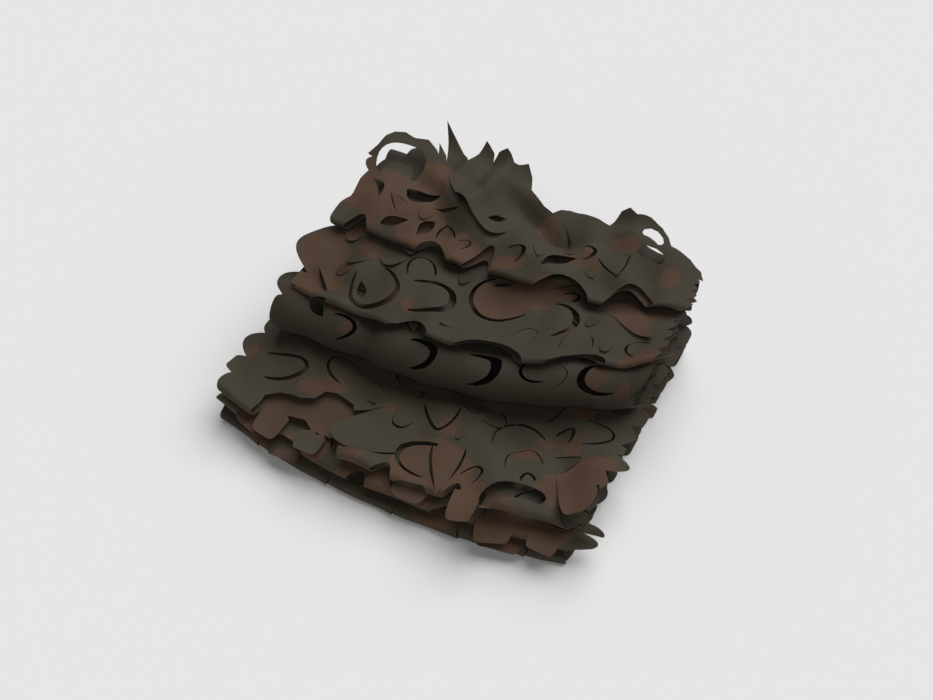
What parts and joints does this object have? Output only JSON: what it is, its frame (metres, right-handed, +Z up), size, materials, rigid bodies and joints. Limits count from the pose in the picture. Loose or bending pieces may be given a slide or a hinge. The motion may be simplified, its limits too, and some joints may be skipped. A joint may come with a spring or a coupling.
{
  "type": "folded camouflage net",
  "caption": "Folded leaf-cut camouflage net of coated cloth: a flat slab of layers with a higher rolled pile on its rear half.",
  "frame": {"origin": "middle of the bundle's box, on the surface it lies on", "axes": "+X along the slab's front edge, left to right; +Y from the slab's front to the pile's back; +Z up"},
  "size_m": [0.4226, 0.3711, 0.1652],
  "materials": {
    "coated_net_cloth": "matte coated camouflage cloth, grey-olive with brown patches"
  },
  "bodies": {
    "root": {"net_cloth": "coated_net_cloth"}
  },
  "joints": []
}
